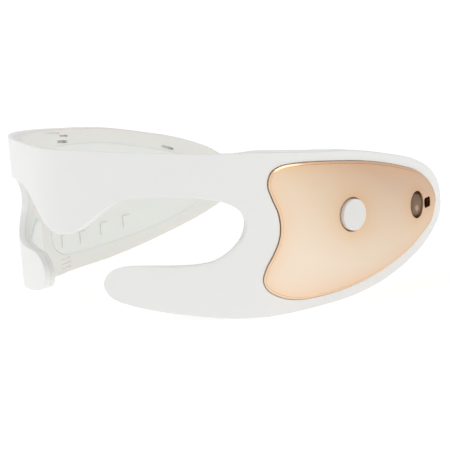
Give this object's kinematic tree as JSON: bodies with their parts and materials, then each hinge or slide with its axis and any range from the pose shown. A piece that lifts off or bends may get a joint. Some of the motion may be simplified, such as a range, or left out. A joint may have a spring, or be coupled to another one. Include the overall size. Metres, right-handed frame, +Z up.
{
  "type": "eye massager",
  "caption": "Wrap-round eye massager: a rigid band over the brow with hooks under the eyes, metal temple plates and sockets for a head strap.",
  "frame": {"origin": "on the floor, in the wearer's plane of symmetry, below the middle of the mask's depth", "axes": "+X to the wearer's left, +Y from the face towards the back of the head, +Z up"},
  "size_m": [0.1733, 0.1556, 0.0724],
  "materials": {
    "shell": "smooth glossy pale moulding",
    "inner_shell": "smooth pale moulding, slightly translucent",
    "cover": "fine satin moulding",
    "skin_pad": "soft matte silicone",
    "plate": "polished rose gold anodising",
    "button": "satin pale moulding",
    "socket": "dark turned metal",
    "steel": "plain bright steel",
    "gold": "gold flashed pin",
    "board": "green solder mask",
    "black": "black moulding",
    "cell": "silvery pouch film",
    "cable": "amber film",
    "foam": "closed-cell foam"
  },
  "bodies": {
    "mask": {"front_shell": "shell", "rear_shell": "inner_shell", "switch_body": "steel", "flex_cable": "cable", "battery": "cell", "battery_pad": "foam", "main_board": "board", "charge_board": "board", "charge_contact_1": "gold", "charge_contact_2": "gold", "temple_cover_left": "cover", "accent_plate_left": "plate", "eye_pad_left": "skin_pad", "pad_lead_left": "cable", "motor_can_left": "steel", "motor_base_left": "black", "motor_pin_left": "steel", "strap_socket_left": "socket", "socket_nut_left": "steel", "cable_connector_left": "black", "lead_connector_left": "black", "board_screw_left_1": "steel", "board_screw_left_2": "steel", "temple_cover_right": "cover", "accent_plate_right": "plate", "eye_pad_right": "skin_pad", "pad_lead_right": "cable", "motor_can_right": "steel", "motor_base_right": "black", "motor_pin_right": "steel", "strap_socket_right": "socket", "socket_nut_right": "steel", "cable_connector_right": "black", "lead_connector_right": "black", "board_screw_right_1": "steel", "board_screw_right_2": "steel"},
    "button": {"power_button": "button", "switch_plunger": "black"},
    "rotor_left": {"motor_rotor_left": "steel"},
    "rotor_right": {"motor_rotor_right": "steel"}
  },
  "joints": [
    {"name": "button_press", "type": "slide", "parent": "mask", "child": "button", "axis": [-0.9999, -0.0127, 0.0004], "range_m": [0, 0.0005], "stiffness_N_per_m": 800, "springref_m": -0.0003},
    {"name": "motor_spin_left", "type": "hinge", "parent": "mask", "child": "rotor_left", "pos_m": [0.07799, 0.03589, 0.03078], "axis": [-0.9825, -0.1863, 0.0059], "continuous": true},
    {"name": "motor_spin_right", "type": "hinge", "parent": "mask", "child": "rotor_right", "pos_m": [-0.07799, 0.03589, 0.03078], "axis": [0.9825, -0.1863, 0.0059], "continuous": true}
  ]
}
